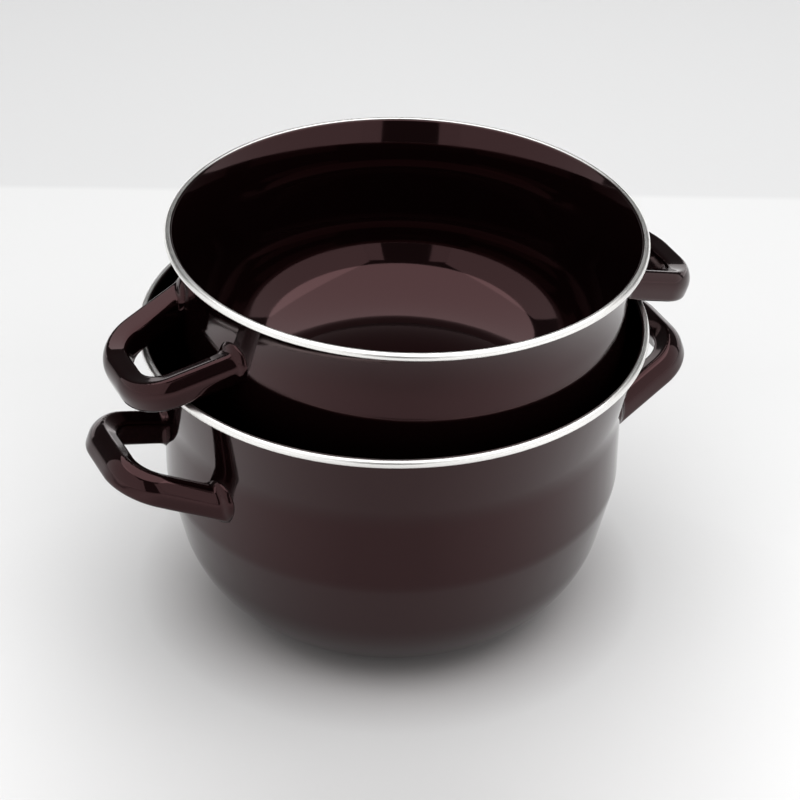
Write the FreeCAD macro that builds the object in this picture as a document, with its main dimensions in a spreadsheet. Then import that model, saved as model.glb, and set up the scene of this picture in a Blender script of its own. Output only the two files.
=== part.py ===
import FreeCAD, Part
import math
import os

import Sketcher

# Mussel pot: a deep-drawn pot and its lid, which is a second, shallower bowl and stands
# upright in the pot's mouth, held by its handles on the pot's rim.
# Millimetres and degrees. The origin is the centre of the pot's flat base, +Z is up, and
# the four handles lie along X.

DRIVING_SIZES = [
    # both vessels
    ("wall_thickness", 1.5),  # drawn sheet with its enamel
    ("lip_width", 2.9),  # flange that the sheet turns out into at the mouth
    ("lip_round", 0.7),  # rounding from the inside of the wall onto the flange
    ("band_sheet", 0.6),  # sheet of the rolled trim band
    ("band_corner", 0.7),  # outer corners of the trim band, cut at 45 degrees
    ("band_clearance", 0.1),  # between the trim band and what it wraps
    # the pot
    ("pot_height", 155.6),
    ("pot_mouth_radius", 121.4),  # inside, at the flange
    ("pot_mouth_spread", 8.2),  # from the outside of the straight wall to that radius
    ("pot_wall_start", 77.0),  # height where the straight wall begins
    ("pot_shoulder_round", 25.0),  # soft bend from the belly into the wall
    ("pot_belly_angle", 13.1),  # slope of the belly under the bend, from upright
    ("pot_belly_round", 57.9),  # from the belly into the flat base
    ("pot_flare_angle", 13.5),  # slope of the flared mouth, from upright
    ("pot_flare_round", 50.0),
    ("pot_band_height", 4.0),
    # the lid bowl, in its own frame, whose origin is the centre of its base
    ("bowl_height", 96.5),
    ("bowl_room", 3.2),  # between its straight wall and that of the pot
    ("bowl_mouth_spread", 4.8),
    ("bowl_base_inset", 39.6),  # from its straight wall to the edge of its flat base
    ("bowl_lift_angle", 13.4),  # slope at which the side leaves the base, from level
    ("bowl_lift_run", 1.5),  # straight part of that slope
    ("bowl_flare_angle", 17.0),
    ("bowl_flare_round", 50.0),
    ("bowl_band_height", 3.6),
    # the handles: one section, and a longer and wider loop on the pot
    ("pot_handle_reach", 40.0),  # from the wall to the middle of the nose
    ("pot_handle_nose_half", 25.5),  # half the nose, to where its line meets a leg's line
    ("pot_handle_root_half", 35.0),  # half the distance between the legs at the wall
    ("bowl_handle_reach", 36.5),
    ("bowl_handle_nose_half", 23.5),
    ("bowl_handle_root_half", 31.5),
    ("handle_corner_round", 20.0),
    ("handle_width", 13.5),
    ("handle_thickness", 15.5),
    ("handle_ridge_inset", 4.6),  # from the outer side to the ridge on top
    ("handle_facet_drop", 3.0),  # fall of the top facet from the ridge to the inner side
    ("handle_side_round", 11.0),
    ("handle_edge_round", 2.2),
    ("handle_ridge_round", 0.8),
    ("foot_half_width", 10.0),  # welded foot round each end of a handle
    ("foot_half_height", 11.2),
    ("foot_thickness", 3.4),
    ("pot_handle_drop", 62.0),  # from the mouth to the handle's underside at the wall
    ("pot_handle_angle", 21.0),  # rise from level
    ("bowl_handle_height", 52.1),  # from the base to the handle's underside at the wall
    ("bowl_handle_angle", 21.0),  # droop from level
    # how the lid bowl stands
    ("bowl_tilt_angle", 1.1),  # its left handle lies a little higher than its right one
    ("bowl_turn_angle", 0.0),  # about the pot's axis
    ("seat_clearance", 0.1),
]

# The lid bowl's shift and the places where its handles touch the rim depend on each
# other, and this many rounds settle them.
SEAT_ROUNDS = 4

DOC = FreeCAD.newDocument("MusselPot")


class Size:
    """A number together with the sheet expression that it stands for."""

    def __init__(self, value, text):
        self.value = float(value)
        self.text = text

    def __add__(self, other):
        other = as_size(other)
        return Size(self.value + other.value, f"({self.text} + {other.text})")

    def __sub__(self, other):
        other = as_size(other)
        return Size(self.value - other.value, f"({self.text} - {other.text})")

    def __mul__(self, other):
        other = as_size(other)
        return Size(self.value * other.value, f"({self.text} * {other.text})")

    def __truediv__(self, other):
        other = as_size(other)
        return Size(self.value / other.value, f"({self.text} / {other.text})")


def as_size(value):
    return value if isinstance(value, Size) else Size(value, f"{value:g}")


def sine(angle):
    return Size(math.sin(math.radians(angle.value)), f"sin({angle.text})")


def cosine(angle):
    return Size(math.cos(math.radians(angle.value)), f"cos({angle.text})")


def tangent(angle):
    return Size(math.tan(math.radians(angle.value)), f"tan({angle.text})")


def root(size):
    return Size(math.sqrt(size.value), f"sqrt({size.text})")


def size_sheet(rows):
    """Writes the driving sizes into the sheet and returns them by name."""
    sheet = DOC.addObject("Spreadsheet::Sheet", "Sizes")
    for row, (name, value) in enumerate(rows, start=1):
        sheet.set(f"A{row}", name)
        sheet.set(f"B{row}", f"{value:g}")
        sheet.setAlias(f"B{row}", name)
    DOC.recompute()
    return {name: Size(sheet.get(name), f"Sizes.{name}") for name, _ in rows}


S = size_sheet(DRIVING_SIZES)
POT_WALL_RADIUS = S["pot_mouth_radius"] - S["pot_mouth_spread"]
BOWL_WALL_RADIUS = POT_WALL_RADIUS - S["wall_thickness"] - S["bowl_room"]
BOWL_MOUTH_RADIUS = BOWL_WALL_RADIUS + S["bowl_mouth_spread"]
ZERO = Size(0, "0")
RIGHT_ANGLE = Size(90, "90")


def origin_plane(body, role):
    return next(part for part in body.Origin.OriginFeatures if part.Role == role)


def new_sketch(body, name, role):
    sketch = body.newObject("Sketcher::SketchObject", name)
    sketch.AttachmentSupport = (origin_plane(body, role), [""])
    sketch.MapMode = "FlatFace"
    return sketch


def bind(sketch, constraint, size):
    """Adds a constraint of the given kind and ties its number to the sheet."""
    kind, *where = constraint
    index = sketch.addConstraint(Sketcher.Constraint(kind, *where, size.value))
    sketch.setExpression(f"Constraints[{index}]", size.text)


def place_point(sketch, where, x, y):
    """Ties a point of the sketch to x and y, or to an axis where one of them is zero."""
    if x is ZERO:
        sketch.addConstraint(Sketcher.Constraint("PointOnObject", *where, -2))
    else:
        bind(sketch, ("DistanceX", -1, 1, *where), x)
    if y is ZERO:
        sketch.addConstraint(Sketcher.Constraint("PointOnObject", *where, -1))
    else:
        bind(sketch, ("DistanceY", -1, 1, *where), y)


def corner_arc(before, corner, after, radius):
    """The two tangent points and the middle of the arc that rounds a corner."""
    arm_in = (before - corner).normalize()
    arm_out = (after - corner).normalize()
    half = arm_in.getAngle(arm_out) / 2
    cut = radius / math.tan(half)
    start = corner + arm_in * cut
    end = corner + arm_out * cut
    inward = (arm_in + arm_out).normalize()
    middle = corner + inward * (radius / math.sin(half) - radius)
    return start, middle, end


def draw_outline(sketch, corners, closed=True):
    """Draws straight sides between corners given as (x, y, rounding), rounding each one
    that has a radius with an arc tangent to both of its sides."""
    points = [FreeCAD.Vector(x.value, y.value, 0) for x, y, _ in corners]
    count = len(corners)
    rounded = {}
    for i, (_, _, rounding) in enumerate(corners):
        if rounding is not None:
            following = points[(i + 1) % count]
            rounded[i] = corner_arc(points[i - 1], points[i], following, rounding.value)
    sides = []
    for i in range(count if closed else count - 1):
        following = (i + 1) % count
        start = rounded[i][2] if i in rounded else points[i]
        end = rounded[following][0] if following in rounded else points[following]
        sides.append(sketch.addGeometry(Part.LineSegment(start, end), False))
    for i, (x, y, rounding) in enumerate(corners):
        side_in = sides[i - 1] if closed or i > 0 else None
        side_out = sides[i] if closed or i < count - 1 else None
        if rounding is None:
            if side_in is not None and side_out is not None:
                sketch.addConstraint(Sketcher.Constraint("Coincident", side_in, 2, side_out, 1))
            where = (side_out, 1) if side_out is not None else (side_in, 2)
            place_point(sketch, where, x, y)
            continue
        arc = sketch.addGeometry(Part.Arc(*rounded[i]), False)
        mark = sketch.addGeometry(Part.Point(points[i]), True)
        ends = arc_ends(sketch, arc, rounded[i][0])
        sketch.addConstraint(Sketcher.Constraint("Tangent", side_in, 2, arc, ends[0]))
        sketch.addConstraint(Sketcher.Constraint("Tangent", side_out, 1, arc, ends[1]))
        sketch.addConstraint(Sketcher.Constraint("PointOnObject", mark, 1, side_in))
        sketch.addConstraint(Sketcher.Constraint("PointOnObject", mark, 1, side_out))
        place_point(sketch, (mark, 1), x, y)
        bind(sketch, ("Radius", arc), rounding)


def arc_ends(sketch, arc, start):
    """Numbers of the arc's ends: first the one at the given start, then the other."""
    nearest = sketch.getPoint(arc, 1).distanceToPoint(start)
    return (1, 2) if nearest < sketch.getPoint(arc, 2).distanceToPoint(start) else (2, 1)


def new_body(name):
    return DOC.addObject("PartDesign::Body", name)


def revolve(body, sketch, name):
    feature = body.newObject("PartDesign::Revolution", name)
    feature.Profile = sketch
    feature.ReferenceAxis = (sketch, ["V_Axis"])
    feature.Angle = 360
    DOC.recompute()
    return feature


def mirror(body, feature, name):
    """Completes a feature that lies on one side of the XZ plane."""
    whole = body.newObject("PartDesign::Mirrored", name)
    whole.Originals = [feature]
    whole.MirrorPlane = (origin_plane(body, "XZ_Plane"), [""])
    body.Tip = whole
    DOC.recompute()


def flare_corner(wall_radius, neck_radius, neck_height, angle):
    """Height at which the line of the flared mouth meets the line of the wall."""
    return neck_height - (neck_radius - wall_radius) / tangent(angle)


def pot_profile():
    """Outside of the pot from the centre of its base to the flange and back to the axis."""
    mouth = S["pot_height"] - S["band_sheet"]
    neck = S["pot_mouth_radius"] + S["wall_thickness"] / cosine(S["pot_flare_angle"])
    wall = POT_WALL_RADIUS
    bend = S["pot_belly_angle"]
    shoulder = S["pot_wall_start"] - S["pot_shoulder_round"] * tangent(bend / 2)
    foot = wall - shoulder * tangent(bend)
    flare = flare_corner(wall, neck, mouth, S["pot_flare_angle"])
    return [
        (ZERO, ZERO, None),
        (foot, ZERO, S["pot_belly_round"]),
        (wall, shoulder, S["pot_shoulder_round"]),
        (wall, flare, S["pot_flare_round"]),
        (neck, mouth, None),
        (ZERO, mouth, None),
    ]


def bowl_profile():
    """Outside of the lid bowl: its side is one curve from the base up into the wall."""
    mouth = S["bowl_height"] - S["band_sheet"]
    neck = BOWL_MOUTH_RADIUS + S["wall_thickness"] / cosine(S["bowl_flare_angle"])
    wall = BOWL_WALL_RADIUS
    lift = S["bowl_lift_angle"]
    spread = S["bowl_base_inset"]
    corner_height = spread * tangent(lift)
    curved_run = spread / cosine(lift) - S["bowl_lift_run"]
    side_round = curved_run / tangent((RIGHT_ANGLE - lift) / 2)
    flare = flare_corner(wall, neck, mouth, S["bowl_flare_angle"])
    return [
        (ZERO, ZERO, None),
        (wall - spread, ZERO, None),
        (wall, corner_height, side_round),
        (wall, flare, S["bowl_flare_round"]),
        (neck, mouth, None),
        (ZERO, mouth, None),
    ]


def revolved_form(name, profile):
    """A solid body with the vessel's outside, filled up to the mouth."""
    body = new_body(name)
    sketch = new_sketch(body, f"{name}_outline", "XZ_Plane")
    draw_outline(sketch, profile)
    revolve(body, sketch, f"{name}_turned")
    return body


def top_face(shape):
    heights = [face.CenterOfMass.z for face in shape.Faces]
    return f"Face{heights.index(max(heights)) + 1}"


def ring_edge(shape, radius, height):
    """Name of the circular edge about the axis that lies nearest to a radius and height."""
    best_name = None
    best_miss = None
    for number, edge in enumerate(shape.Edges, start=1):
        if not isinstance(edge.Curve, Part.Circle):
            continue
        miss = abs(edge.Curve.Radius - radius) + abs(edge.Curve.Center.z - height)
        if best_miss is None or miss < best_miss:
            best_name = f"Edge{number}"
            best_miss = miss
    return best_name


def vessel_body(label, profile, mouth_radius, mouth):
    """The drawn shell: the form hollowed to sheet, with its flange turned out at the mouth."""
    body = revolved_form(label, profile)
    form = body.Tip
    shell = body.newObject("PartDesign::Thickness", f"{label}_sheet")
    shell.Base = (form, [top_face(form.Shape)])
    shell.Reversed = True
    shell.setExpression("Value", S["wall_thickness"].text)
    DOC.recompute()

    flange = new_sketch(body, f"{label}_flange", "XZ_Plane")
    inner = mouth_radius + S["wall_thickness"] / 2
    outer = mouth_radius + S["lip_width"]
    under = mouth - S["wall_thickness"]
    draw_outline(flange, [
        (inner, under, None),
        (outer, under, None),
        (outer, mouth, None),
        (inner, mouth, None),
    ])
    turned = revolve(body, flange, f"{label}_flange_turned")

    rounding = body.newObject("PartDesign::Fillet", f"{label}_lip_round")
    rounding.Base = (turned, [ring_edge(turned.Shape, mouth_radius.value, mouth.value)])
    rounding.setExpression("Radius", S["lip_round"].text)
    DOC.recompute()
    body.Label = label
    return body


def rim_band(label, mouth_radius, flare_angle, height, band_height):
    """Trim band: a C of thin sheet that wraps the flange and turns in under it."""
    body = new_body(label)
    sketch = new_sketch(body, f"{label}_section", "XZ_Plane")
    sheet = S["band_sheet"]
    neck_radius = mouth_radius + S["wall_thickness"] / cosine(flare_angle)
    inside = mouth_radius + S["lip_round"]
    outside = mouth_radius + S["lip_width"] + S["band_clearance"] + sheet
    bottom = height - band_height
    wall_there = neck_radius - (band_height - sheet * 2) * tangent(flare_angle)
    turned_in = wall_there + S["band_clearance"]
    corner = S["band_corner"]
    draw_outline(sketch, [
        (inside, height, None),
        (outside - corner, height, None),
        (outside, height - corner, None),
        (outside, bottom + corner, None),
        (outside - corner, bottom, None),
        (turned_in, bottom, None),
        (turned_in, bottom + sheet, None),
        (outside - sheet, bottom + sheet, None),
        (outside - sheet, height - sheet, None),
        (inside, height - sheet, None),
    ])
    revolve(body, sketch, f"{label}_turned")
    body.Label = label
    return body


def handle_loop(name, vessel, wall):
    """The loop of a handle: half of it swept from the nose to a leg's end, then mirrored.
    Its underside is the plane z = 0, and x starts behind the wall's surface."""
    body = new_body(name)
    inset = leg_inset(vessel, wall)
    nose = inset + S[f"{vessel}_handle_reach"]
    nose_half = S[f"{vessel}_handle_nose_half"]
    root_half = S[f"{vessel}_handle_root_half"]
    taper = (root_half - nose_half) / S[f"{vessel}_handle_reach"]

    path = new_sketch(body, f"{name}_path", "XY_Plane")
    draw_outline(path, [
        (nose, ZERO, None),
        (nose, nose_half, S["handle_corner_round"]),
        (ZERO, root_half + inset * taper, None),
    ], closed=False)

    section = new_sketch(body, f"{name}_section", "XZ_Plane")
    inner = nose - S["handle_width"] / 2
    outer = nose + S["handle_width"] / 2
    ridge = outer - S["handle_ridge_inset"]
    top = S["handle_thickness"]
    edge = S["handle_edge_round"]
    draw_outline(section, [
        (inner, ZERO, edge),
        (outer, ZERO, edge),
        (outer, top - S["handle_ridge_inset"], S["handle_side_round"]),
        (ridge, top, S["handle_ridge_round"]),
        (inner, top - S["handle_facet_drop"], edge),
    ])
    DOC.recompute()

    sweep = body.newObject("PartDesign::AdditivePipe", f"{name}_half")
    sweep.Profile = section
    sweep.Spine = (path, [])
    DOC.recompute()
    mirror(body, sweep, f"{name}_whole")
    return body


def leg_inset(vessel, wall):
    """How far behind the wall's surface the legs begin, so that the round wall trims both."""
    widest = S[f"{vessel}_handle_root_half"] + S["handle_width"] + S["foot_half_width"]
    return wall - root(wall * wall - widest * widest)


def leg_crossing(vessel, wall, slope, radius, inward=0.0, moved=0.0):
    """Where a line beside a leg's middle line crosses a circle, seen from above and measured
    from the circle's middle. The line lies inward of the middle line, and the vessel has
    moved outward from the circle's middle."""
    root_half = S[f"{vessel}_handle_root_half"].value
    closing = root_half - S[f"{vessel}_handle_nose_half"].value
    run = S[f"{vessel}_handle_reach"].value * math.cos(math.radians(slope))
    taper = closing / run
    square = 1 + taper ** 2
    at_middle = root_half - inward * math.sqrt(square) + taper * (wall + moved)
    along = at_middle * taper
    reach = (along + math.sqrt(along ** 2 - square * (at_middle ** 2 - radius ** 2))) / square
    return reach, at_middle - taper * reach


def welded_foot(name, vessel, wall, height, slope, side):
    """The rounded foot that a leg's end is welded to the wall with."""
    along, across = leg_crossing(vessel, wall, slope, wall)
    middle = S["handle_thickness"].value / 2 / math.cos(math.radians(slope))
    rise = (along - wall) * math.tan(math.radians(slope))
    foot = DOC.addObject("Part::Ellipsoid", name)
    foot.setExpression("Radius1", S["foot_half_height"].text)
    foot.setExpression("Radius2", S["foot_thickness"].text)
    foot.setExpression("Radius3", S["foot_half_width"].text)
    foot.Placement = FreeCAD.Placement(
        FreeCAD.Vector(along, across * side, height + middle + rise),
        FreeCAD.Rotation(FreeCAD.Vector(0, 0, 1), math.degrees(math.atan2(across * side, along))),
    )
    return foot


def about_axis(angle):
    return FreeCAD.Placement(
        FreeCAD.Vector(), FreeCAD.Rotation(FreeCAD.Vector(0, 0, 1), angle)
    )


def handle(label, vessel, form, wall, height, slope, seat, turn):
    """A handle on the vessel's wall. Its slope is positive where it rises outward, seat is
    where its vessel stands and turn is its angle about the vessel's axis."""
    loop = handle_loop(f"{label}_loop", vessel, wall)
    inset = leg_inset(vessel, wall).value
    loop.Placement = FreeCAD.Placement(
        FreeCAD.Vector(wall.value, 0, height.value),
        FreeCAD.Rotation(FreeCAD.Vector(0, 1, 0), -slope),
    ) * FreeCAD.Placement(FreeCAD.Vector(-inset, 0, 0), FreeCAD.Rotation())
    feet = [
        welded_foot(f"{label}_foot_{word}", vessel, wall.value, height.value, slope, side)
        for word, side in (("front", -1), ("back", 1))
    ]
    joined = DOC.addObject("Part::MultiFuse", f"{label}_joined")
    joined.Shapes = [loop, *feet]
    trimmed = DOC.addObject("Part::Cut", label)
    trimmed.Base = joined
    trimmed.Tool = form
    trimmed.Label = label
    trimmed.Placement = seat * about_axis(turn)
    DOC.recompute()
    return trimmed


def bowl_seat():
    """Where the lid bowl stands: the undersides of its handles, two planes that fall outward
    like a roof, touch the outer edge of the pot's trim band, one on each side."""
    wall = BOWL_WALL_RADIUS.value
    droop = S["bowl_handle_angle"].value
    tilt = S["bowl_tilt_angle"].value
    corner = S["band_corner"].value
    gap = S["seat_clearance"].value
    outside = S["pot_mouth_radius"] + S["lip_width"] + S["band_clearance"] + S["band_sheet"]
    ring = outside.value - corner
    level = S["pot_height"].value
    underside = (S["handle_width"] / 2 - S["handle_edge_round"]).value

    right = math.radians(droop + tilt)
    left = math.radians(droop - tilt)
    spread = math.tan(right) + math.tan(left)
    shift = 0.0
    for _ in range(SEAT_ROUNDS):
        right_reach, _ = leg_crossing("bowl", wall, droop, ring, underside, shift)
        left_reach, _ = leg_crossing("bowl", wall, droop, ring, underside, -shift)
        right_rise = gap / math.cos(right) + right_reach * math.tan(right)
        left_rise = gap / math.cos(left) + left_reach * math.tan(left)
        shift = (right_rise - left_rise) / spread

    peak = FreeCAD.Vector(shift, 0, level + right_rise - shift * math.tan(right))
    roof = S["bowl_handle_height"].value + wall * math.tan(math.radians(droop))
    turned = FreeCAD.Rotation(FreeCAD.Vector(0, 1, 0), tilt)
    rest = FreeCAD.Placement(peak - turned.multVec(FreeCAD.Vector(0, 0, roof)), turned)
    return about_axis(S["bowl_turn_angle"].value) * rest


def check_document():
    for item in DOC.Objects:
        if "Invalid" in item.State or "Error" in item.State:
            raise RuntimeError(f"{item.Label} did not recompute: {item.State}")


def write_parts(parts):
    os.makedirs("parts", exist_ok=True)
    for part in parts:
        shape = part.Shape
        if shape.isNull() or not shape.isValid() or len(shape.Solids) != 1:
            raise RuntimeError(f"{part.Label} is not one valid solid")
    for part in parts:
        part.Shape.exportStep(f"parts/{part.Label}.step")


def build():
    upright = FreeCAD.Placement()
    vessels = [
        ("pot", "pot", pot_profile(), POT_WALL_RADIUS, S["pot_mouth_radius"],
         S["pot_height"] - S["pot_handle_drop"], S["pot_handle_angle"].value, upright),
        ("bowl", "lid_bowl", bowl_profile(), BOWL_WALL_RADIUS, BOWL_MOUTH_RADIUS,
         S["bowl_handle_height"], -S["bowl_handle_angle"].value, bowl_seat()),
    ]
    parts = []
    for vessel, label, profile, wall, mouth_radius, handle_height, slope, seat in vessels:
        height = S[f"{vessel}_height"]
        form = revolved_form(f"{label}_form", profile)
        body = vessel_body(f"{label}_body", profile, mouth_radius, height - S["band_sheet"])
        body.Placement = seat
        band = rim_band(f"{label}_rim_band", mouth_radius, S[f"{vessel}_flare_angle"],
                        height, S[f"{vessel}_band_height"])
        band.Placement = seat
        parts += [body, band]
        for side, turn in (("right", 0), ("left", 180)):
            parts.append(handle(f"{label}_handle_{side}", vessel, form, wall,
                                handle_height, slope, seat, turn))
    DOC.recompute()
    check_document()
    write_parts(parts)


build()
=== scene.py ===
import math

import bmesh
import bpy
import numpy as np
from mathutils import Matrix, Vector

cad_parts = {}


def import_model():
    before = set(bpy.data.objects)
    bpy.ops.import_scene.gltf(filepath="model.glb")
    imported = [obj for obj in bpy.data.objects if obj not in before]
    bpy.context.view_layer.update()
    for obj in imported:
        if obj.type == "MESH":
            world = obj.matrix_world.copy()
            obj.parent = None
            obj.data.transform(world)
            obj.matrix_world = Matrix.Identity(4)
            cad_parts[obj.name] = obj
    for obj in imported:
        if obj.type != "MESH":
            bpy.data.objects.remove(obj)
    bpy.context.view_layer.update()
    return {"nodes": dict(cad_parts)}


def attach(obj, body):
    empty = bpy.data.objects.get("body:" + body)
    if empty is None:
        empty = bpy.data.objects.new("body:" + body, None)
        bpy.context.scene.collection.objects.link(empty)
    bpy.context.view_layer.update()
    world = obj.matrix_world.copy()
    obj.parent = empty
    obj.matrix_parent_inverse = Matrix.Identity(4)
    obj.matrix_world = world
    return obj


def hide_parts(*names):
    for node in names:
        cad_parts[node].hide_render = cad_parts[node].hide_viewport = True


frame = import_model()

# Looks of the mussel pot: glossy dark brown enamel with rolled steel rims, on a white
# table. Sizes of the vessels and of their meshes are in millimetres and degrees. The view,
# the table and the lamps are in metres.

MM = 0.001

WALL = 1.5
LIP = 2.9
LIP_ROUND = 0.7
SHEET = 0.6
CLEARANCE = 0.1
POT = {
    "body": "pot_body", "band": "pot_rim_band",
    "height": 155.6, "mouth": 121.4, "flare": 13.5, "band_height": 4.0,
    "wall": 113.2, "flare_round": 50.0,
    # start of the straight wall, bend into it, slope of the belly, belly's rounding
    "foot": (77.0, 25.0, 13.1, 57.9),
}
BOWL = {
    "body": "lid_bowl_body", "band": "lid_bowl_rim_band",
    "height": 96.5, "mouth": 113.3, "flare": 24.0, "band_height": 3.6,
    "wall": 108.5, "flare_round": 64.0,
    # edge of the base from the wall, slope there, straight part of that slope, edge's rounding
    "curve": (39.6, 13.4, 1.5, 1.2),
}
BOWL_BASE = (4.8837, 0.0, 108.6788)
BOWL_TILT = 1.1

BAND_EDGE = 0.55
BAND_SHOULDER = 1.95
BAND_UNDERSIDE = 1.2
LIP_START = 2.2
FILLET = 1.1
SOFT_CELL = 0.55
SOFT_ROUNDS = 20

SEGMENTS = 288
ARC_STEP = 2.0
LONGEST_STRIP = 6.0
SHARP_ANGLE = 35.0
SAME_POINT = 1e-6

# The camera was fitted with the handles along X, and the view is turned by this angle.
VIEW_TURN = -25.0
TURN = Matrix.Rotation(math.radians(VIEW_TURN), 3, "Z")
LENS = 135.0
SENSOR = 36.0
ELEVATION = 33.097
DISTANCE = 1.49299
ROLL = 0.875
TARGET = Vector((0.003776, 0.0, 0.107994))

TABLE_HALF = 9.0
FAR_EDGE = (0.402, 0.408)


def tan(degrees):
    return math.tan(math.radians(degrees))


def cos(degrees):
    return math.cos(math.radians(degrees))


def rounded(corners):
    """Points of an outline whose corners are rounded with tangent arcs."""
    points = []
    for i, (x, y, radius) in enumerate(corners):
        here = np.array([x, y])
        if not radius:
            points.append(here)
            continue
        before = np.array(corners[i - 1][:2]) - here
        after = np.array(corners[i + 1][:2]) - here
        before /= np.linalg.norm(before)
        after /= np.linalg.norm(after)
        half = math.acos(np.clip(before @ after, -1, 1)) / 2
        middle = (before + after) / np.linalg.norm(before + after)
        centre = here + middle * radius / math.sin(half)
        start = here + before * radius / math.tan(half) - centre
        end = here + after * radius / math.tan(half) - centre
        first = math.atan2(start[1], start[0])
        turn = (math.atan2(end[1], end[0]) - first + math.pi) % (2 * math.pi) - math.pi
        steps = max(3, math.ceil(abs(math.degrees(turn)) / ARC_STEP))
        for k in range(steps + 1):
            angle = first + turn * k / steps
            points.append(centre + radius * np.array([math.cos(angle), math.sin(angle)]))
    return np.array(points)


def offset(points, distance):
    """The same outline moved inward, which is to its left."""
    step = np.gradient(points, axis=0)
    step /= np.linalg.norm(step, axis=1)[:, None]
    return points + distance * np.c_[-step[:, 1], step[:, 0]]


def fill(points):
    """Adds points to the long sides, so that no strip of the lathed mesh is very long."""
    out = [points[0]]
    for a, b in zip(points[:-1], points[1:]):
        count = max(1, math.ceil(np.linalg.norm(b - a) / LONGEST_STRIP))
        out += [a + (b - a) * k / count for k in range(1, count + 1)]
    return np.array(out)


def neck_radius(v):
    """Outside of the flared wall at the mouth."""
    return v["mouth"] + WALL / cos(v["flare"])


def outer_line(v):
    """The outside of a vessel from the middle of its base to its flange."""
    mouth = v["height"] - SHEET
    wall = v["wall"]
    slope = tan(v["flare"])
    neck = neck_radius(v)
    if "foot" in v:
        start, shoulder_round, angle, belly = v["foot"]
        shoulder = start - shoulder_round * tan(angle / 2)
        low = [(wall - shoulder * tan(angle), 0.0, belly), (wall, shoulder, shoulder_round)]
    else:
        inset, lift, run, edge = v["curve"]
        side = (inset / cos(lift) - run) / tan((90 - lift) / 2)
        low = [(wall - inset, 0.0, edge), (wall, inset * tan(lift), side)]
    bend = (wall, mouth - (neck - wall) / slope, v["flare_round"])
    top = (neck - WALL * slope, mouth - WALL, 0.0)
    return rounded([(0.0, 0.0, 0.0)] + low + [bend, top])


def body_line(v):
    """The closed section of a vessel's sheet with its flange at the mouth."""
    mouth = v["height"] - SHEET
    rim = v["mouth"] + LIP
    outer = outer_line(v)
    inner = offset(outer, WALL)
    inner[0] = (0.0, WALL)
    inner = inner[inner[:, 1] < mouth - LIP_START]
    below = (*inner[-1], 0.0)
    lip = rounded([below, (v["mouth"], mouth, LIP_ROUND), (rim, mouth, 0.0)])[1:]
    flange = np.array([(rim, mouth - WALL)])
    return np.concatenate([fill(outer), flange, lip[::-1], fill(inner[::-1])])


def band_line(v):
    """The closed section of the rolled rim: a C of thin sheet with rounded shoulders."""
    top = v["height"]
    bottom = top - v["band_height"]
    inside = v["mouth"] + LIP_ROUND
    outside = v["mouth"] + LIP + CLEARANCE + SHEET
    turned = neck_radius(v) - (v["band_height"] - SHEET * 2) * tan(v["flare"]) + CLEARANCE
    skin = rounded([
        (inside, top - SHEET, 0.0),
        (inside, top, BAND_EDGE),
        (outside, top, BAND_SHOULDER),
        (outside, bottom, BAND_UNDERSIDE),
        (turned, bottom, 0.0),
    ])
    back = np.array([
        (turned, bottom + SHEET),
        (outside - SHEET, bottom + SHEET),
        (outside - SHEET, top - SHEET),
        (inside, top - SHEET),
    ])
    return np.concatenate([skin, back, skin[:1]])


def link(name, data):
    item = bpy.data.objects.new(name, data)
    bpy.context.scene.collection.objects.link(item)
    return item


def lathe(name, line, place):
    """A mesh turned about the axis from a section in millimetres."""
    line = np.asarray(line, float) * MM
    keep = np.r_[True, np.linalg.norm(np.diff(line, axis=0), axis=1) > SAME_POINT]
    line = line[keep]
    on_axis = line[:, 0] < SAME_POINT
    angles = np.arange(SEGMENTS) * 2 * math.pi / SEGMENTS
    rings = []
    verts = []
    for (r, z), axis in zip(line, on_axis):
        rings.append(len(verts))
        if axis:
            verts.append((0.0, 0.0, z))
        else:
            verts += [(r * math.cos(a), r * math.sin(a), z) for a in angles]
    faces = []
    for i in range(len(line) - 1):
        a, b = rings[i], rings[i + 1]
        if on_axis[i] and on_axis[i + 1]:
            continue
        for k in range(SEGMENTS):
            n = (k + 1) % SEGMENTS
            if on_axis[i]:
                faces.append((a, b + n, b + k))
            elif on_axis[i + 1]:
                faces.append((a + k, a + n, b))
            else:
                faces.append((a + k, a + n, b + n, b + k))
    mesh = bpy.data.meshes.new(name)
    mesh.from_pydata(verts, [], faces)
    tools = bmesh.new()
    tools.from_mesh(mesh)
    bmesh.ops.remove_doubles(tools, verts=tools.verts, dist=SAME_POINT / 10)
    bmesh.ops.recalc_face_normals(tools, faces=tools.faces)
    tools.to_mesh(mesh)
    tools.free()
    mesh.transform(place)
    mesh.shade_smooth()
    mesh.set_sharp_from_angle(angle=math.radians(SHARP_ANGLE))
    return link(name, mesh)


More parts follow.
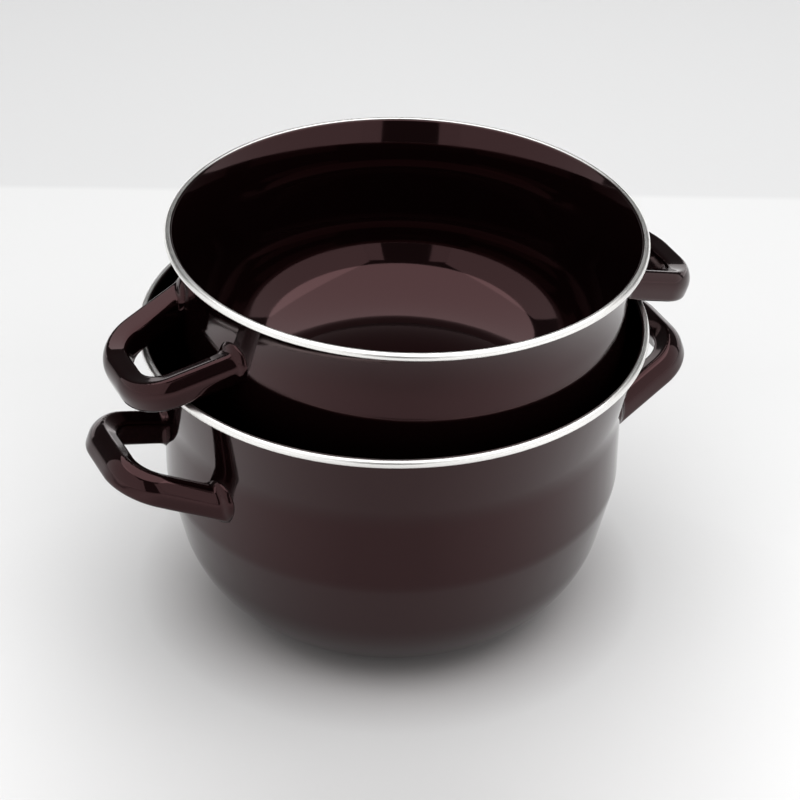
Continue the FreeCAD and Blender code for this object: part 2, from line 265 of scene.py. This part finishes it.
def softened(node, vessel, place):
    """A copy of a handle whose edges run together as under a coat of enamel, and whose
    feet run out onto the vessel's wall in a small fillet."""
    piece = link(node + "_enamelled", frame["nodes"][node].data.copy())
    weld = piece.modifiers.new("weld", "WELD")
    weld.merge_threshold = SAME_POINT
    cells = piece.modifiers.new("cells", "REMESH")
    cells.mode = "VOXEL"
    cells.voxel_size = SOFT_CELL * MM
    cells.use_smooth_shade = True
    soft = piece.modifiers.new("soft", "SMOOTH")
    soft.factor = 0.5
    soft.iterations = SOFT_ROUNDS
    bpy.context.view_layer.update()
    view = bpy.context.evaluated_depsgraph_get()
    made = bpy.data.meshes.new_from_object(piece.evaluated_get(view))
    piece.modifiers.clear()
    piece.data = made
    made.transform(place.inverted())
    points = np.empty(len(made.vertices) * 3)
    normals = np.empty(len(made.vertices) * 3)
    made.vertices.foreach_get("co", points)
    made.vertex_normals.foreach_get("vector", normals)
    points = points.reshape(-1, 3)
    normals = normals.reshape(-1, 3)
    out = points * (1, 1, 0)
    radius = np.linalg.norm(out, axis=1)[:, None]
    out /= radius
    size = FILLET * MM
    gap = np.maximum(radius - vessel["wall"] * MM, 0) / size
    along = normals - (normals * out).sum(axis=1)[:, None] * out
    points += along * size * np.exp(-gap)
    points -= out * size * np.exp(-gap ** 2)
    made.vertices.foreach_set("co", points.ravel())
    made.transform(place)
    made.shade_smooth()
    return piece


class Nodes:
    """A short way to build a node material."""

    def __init__(self, name):
        self.material = bpy.data.materials.new(name)
        self.material.use_nodes = True
        self.tree = self.material.node_tree
        self.shader = self.tree.nodes["Principled BSDF"]
        self.coord = self.tree.nodes.new("ShaderNodeTexCoord").outputs["Object"]

    def add(self, kind, inputs=None, **settings):
        node = self.tree.nodes.new(kind)
        for key, value in settings.items():
            setattr(node, key, value)
        for key, value in (inputs or {}).items():
            self.set(node.inputs[key], value)
        return node

    def set(self, socket, value):
        if isinstance(value, bpy.types.NodeSocket):
            self.tree.links.new(value, socket)
        else:
            socket.default_value = value

    def surface(self, **values):
        """Sets the shader's sockets, whose names are given with _ for a space."""
        for key, value in values.items():
            self.set(self.shader.inputs[key.replace("_", " ")], value)

    def math(self, operation, a, b=0.0):
        return self.add("ShaderNodeMath", {0: a, 1: b}, operation=operation).outputs[0]

    def noise(self, scale, detail, vector=None):
        vector = vector or self.coord
        inputs = {"Scale": scale, "Detail": detail, "Vector": vector}
        return self.add("ShaderNodeTexNoise", inputs).outputs["Fac"]

    def ramp(self, fac, low, high, start, end):
        """Runs from low to high while fac runs from start to end."""
        inputs = {"Value": fac, "From Min": start, "From Max": end, "To Min": low, "To Max": high}
        return self.add("ShaderNodeMapRange", inputs).outputs["Result"]

    def mix(self, fac, a, b):
        """Mixes two colours, given as three numbers or as a socket."""
        a, b = ((*c, 1) if isinstance(c, tuple) else c for c in (a, b))
        return self.add("ShaderNodeMix", {0: fac, 6: a, 7: b}, data_type="RGBA").outputs[2]

    def bump(self, strength, distance, height):
        inputs = {"Strength": strength, "Distance": distance, "Height": height}
        self.surface(Normal=self.add("ShaderNodeBump", inputs).outputs["Normal"])


def enamel():
    m = Nodes("dark_brown_enamel")
    patches = m.noise(14.0, 4.0)
    m.surface(
        Base_Color=m.mix(patches, (0.0022, 0.0006, 0.0007), (0.0032, 0.0010, 0.0011)),
        Specular_Tint=(1.0, 0.53, 0.55, 1),
        IOR=1.475,
        Roughness=m.ramp(m.noise(60.0, 5.0), 0.045, 0.085, 0.3, 0.7),
    )
    peel = m.math("MULTIPLY", m.noise(230.0, 2.0), 0.010)
    waves = m.math("MULTIPLY", m.noise(35.0, 2.0), 0.09)
    m.bump(0.35, 0.001, m.math("ADD", peel, waves))
    return m.material


def steel():
    """Steel with fine turned lines, which follow the rim's own rings."""
    m = Nodes("rolled_rim_steel")
    split = m.add("ShaderNodeSeparateXYZ", {"Vector": m.coord}).outputs
    across, along = (m.math("MULTIPLY", split[i], split[i]) for i in (0, 1))
    radius = m.math("SQRT", m.math("ADD", across, along))
    rings = m.add("ShaderNodeCombineXYZ", {0: radius, 1: split[2]})
    lines = m.noise(5200.0, 2.0, rings.outputs[0])
    clouds = m.noise(30.0, 3.0)
    both = m.math("ADD", m.math("MULTIPLY", lines, 0.5), m.math("MULTIPLY", clouds, 0.5))
    m.surface(
        Base_Color=m.mix(clouds, (0.80, 0.79, 0.77), (0.88, 0.87, 0.85)),
        Metallic=1.0,
        Roughness=m.ramp(both, 0.24, 0.34, 0.3, 0.7),
    )
    m.bump(0.12, 0.0001, lines)
    return m.material


def white_table():
    """White with painted shade: darker in front of and under the pot, lit tones painted across the
    sides, and a tone step far behind it.
    """
    m = Nodes("white_table")
    turned = (0, 0, math.radians(-VIEW_TURN))
    away = m.add("ShaderNodeMapping", {"Vector": m.coord, "Rotation": turned}).outputs[0]
    depth = m.add("ShaderNodeSeparateXYZ", {"Vector": away}).outputs[1]
    from_front = m.add("ShaderNodeVectorMath", {0: away, 1: (0.0, -0.24, 0.0)}, operation="DISTANCE")
    from_pot = m.add("ShaderNodeVectorMath", {0: m.coord}, operation="LENGTH").outputs["Value"]
    # Painted shade: a darker patch on the table in front of the pot, with random tone in it.
    front = m.mix(m.noise(9.0, 5.0), (0.57, 0.565, 0.565), (0.60, 0.595, 0.595))
    # Painted light and shade: the sides are lighter in front and darker behind, to give the table's
    # lit tones.
    sides = m.mix(m.ramp(depth, 0.0, 1.0, -0.15, 0.2), (0.92, 0.92, 0.92), (0.74, 0.74, 0.74))
    near = m.mix(m.ramp(from_front.outputs["Value"], 0.0, 1.0, 0.06, 0.34), front, sides)
    # Painted contact shadow: a darker ring on the table right round the pot's base.
    near = m.mix(m.ramp(from_pot, 0.0, 1.0, 0.075, 0.13), (0.45, 0.43, 0.43), near)
    m.surface(
        Base_Color=m.mix(m.ramp(depth, 0.0, 1.0, *FAR_EDGE), near, (0.67, 0.67, 0.672)),
        Roughness=0.6,
        Specular_IOR_Level=0.2,
    )
    m.bump(0.05, 0.001, m.noise(300.0, 3.0))

    # Painted light: beyond the lamps' reach the table would look grey from the side, so camera rays
    # see it glow.
    direct = m.add("ShaderNodeLightPath").outputs["Is Camera Ray"]
    seen = m.math("MULTIPLY", direct, m.ramp(from_pot, 0.0, 1.0, 0.8, 1.5))
    glow = m.add("ShaderNodeEmission", {"Color": (0.82, 0.82, 0.83, 1)}).outputs[0]
    both = m.add("ShaderNodeMixShader", {0: seen, 1: m.shader.outputs[0], 2: glow})
    m.set(m.tree.nodes["Material Output"].inputs["Surface"], both.outputs[0])
    return m.material


def table():
    mesh = bpy.data.meshes.new("table")
    half = TABLE_HALF
    corners = [(-half, -half, 0), (half, -half, 0), (half, half, 0), (-half, half, 0)]
    mesh.from_pydata(corners, [], [(0, 1, 2, 3)])
    mesh.transform(TURN.to_4x4())
    mesh.materials.append(white_table())
    link("table", mesh)


def world():
    """Dim for reflections and bright where the camera sees it."""
    sky = bpy.data.worlds.new("studio")
    bpy.context.scene.world = sky
    sky.use_nodes = True
    tree = sky.node_tree
    paths = tree.nodes.new("ShaderNodeLightPath")
    mix = tree.nodes.new("ShaderNodeMix")
    mix.data_type = "RGBA"
    mix.inputs[6].default_value = (0.10, 0.10, 0.10, 1)
    mix.inputs[7].default_value = (0.86, 0.86, 0.87, 1)
    tree.links.new(paths.outputs["Is Camera Ray"], mix.inputs[0])
    tree.links.new(mix.outputs[2], tree.nodes["Background"].inputs["Color"])


def camera():
    roll = math.radians(ROLL)
    rise = math.radians(ELEVATION)
    back = Vector((0, -math.cos(rise), math.sin(rise)))
    level = Vector((1, 0, 0))
    upward = level.cross(-back)
    right = math.cos(roll) * level + math.sin(roll) * upward
    up = math.cos(roll) * upward - math.sin(roll) * level
    axes = TURN @ Matrix((right, up, back)).transposed()
    data = bpy.data.cameras.new("view")
    data.lens = LENS
    data.sensor_width = SENSOR
    data.clip_end = 50.0
    item = link("view", data)
    item.matrix_world = Matrix.Translation(TURN @ (TARGET + DISTANCE * back)) @ axes.to_4x4()
    bpy.context.scene.camera = item


def lamp(name, middle, aim, size, radiance, shape="RECTANGLE"):
    """A soft light. Its place is given in the view's own directions: x to the right,
    y away from the camera."""
    data = bpy.data.lights.new(name, "AREA")
    data.shape = shape
    data.size, data.size_y = size
    area = size[0] * size[1] * (1 if shape == "RECTANGLE" else math.pi / 4)
    data.energy = radiance * math.pi * area
    item = link(name, data)
    middle = TURN @ Vector(middle)
    toward = TURN @ Vector(aim) - middle
    item.location = middle
    item.rotation_euler = toward.to_track_quat("-Z", "Y").to_euler()
    return item


def hand_over(piece, node, slot, material):
    piece.data.materials.clear()
    piece.data.materials.append(material)
    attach(piece, "root")
    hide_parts(node)


ENAMEL = enamel()
STEEL = steel()
UPRIGHT = Matrix.Identity(4)
TILT = Matrix.Rotation(math.radians(BOWL_TILT), 4, "Y")
SEAT = Matrix.Translation(Vector(BOWL_BASE) * MM) @ TILT

for vessel, place in ((POT, UPRIGHT), (BOWL, SEAT)):
    for node, line, slot, material in (
        (vessel["body"], body_line(vessel), "enamel", ENAMEL),
        (vessel["band"], band_line(vessel), "rim_steel", STEEL),
    ):
        hand_over(lathe(node + "_turned", line, place), node, slot, material)

for owner, vessel, place in (("pot", POT, UPRIGHT), ("lid_bowl", BOWL, SEAT)):
    for side in ("right", "left"):
        node = f"{owner}_handle_{side}"
        hand_over(softened(node, vessel, place), node, "enamel", ENAMEL)

camera()
table()
world()
lamp("overhead", (0.12, 0.0, 1.35), (0.12, 0.0, 0), (2.5, 2.4), 2.1, "ELLIPSE")
lamp("left_wall", (-1.12, -0.6, 0.85), (0, -0.25, 0.85), (2.3, 1.66), 1.0)
lamp("right_wall", (1.12, -0.5, 0.85), (0, -0.15, 0.85), (2.5, 1.66), 1.0)
lamp("front_left", (-0.64, -1.8, 0.85), (-0.64, 0, 0.85), (0.36, 1.66), 0.9)
lamp("front_right", (0.625, -1.8, 0.85), (0.625, 0, 0.85), (0.33, 1.66), 0.95)
lamp("back_wall", (0, 0.75, 0.16), (0, 0, 0.16), (2.6, 0.3), 1.1).visible_diffuse = False
bpy.context.scene.view_settings.view_transform = "Standard"
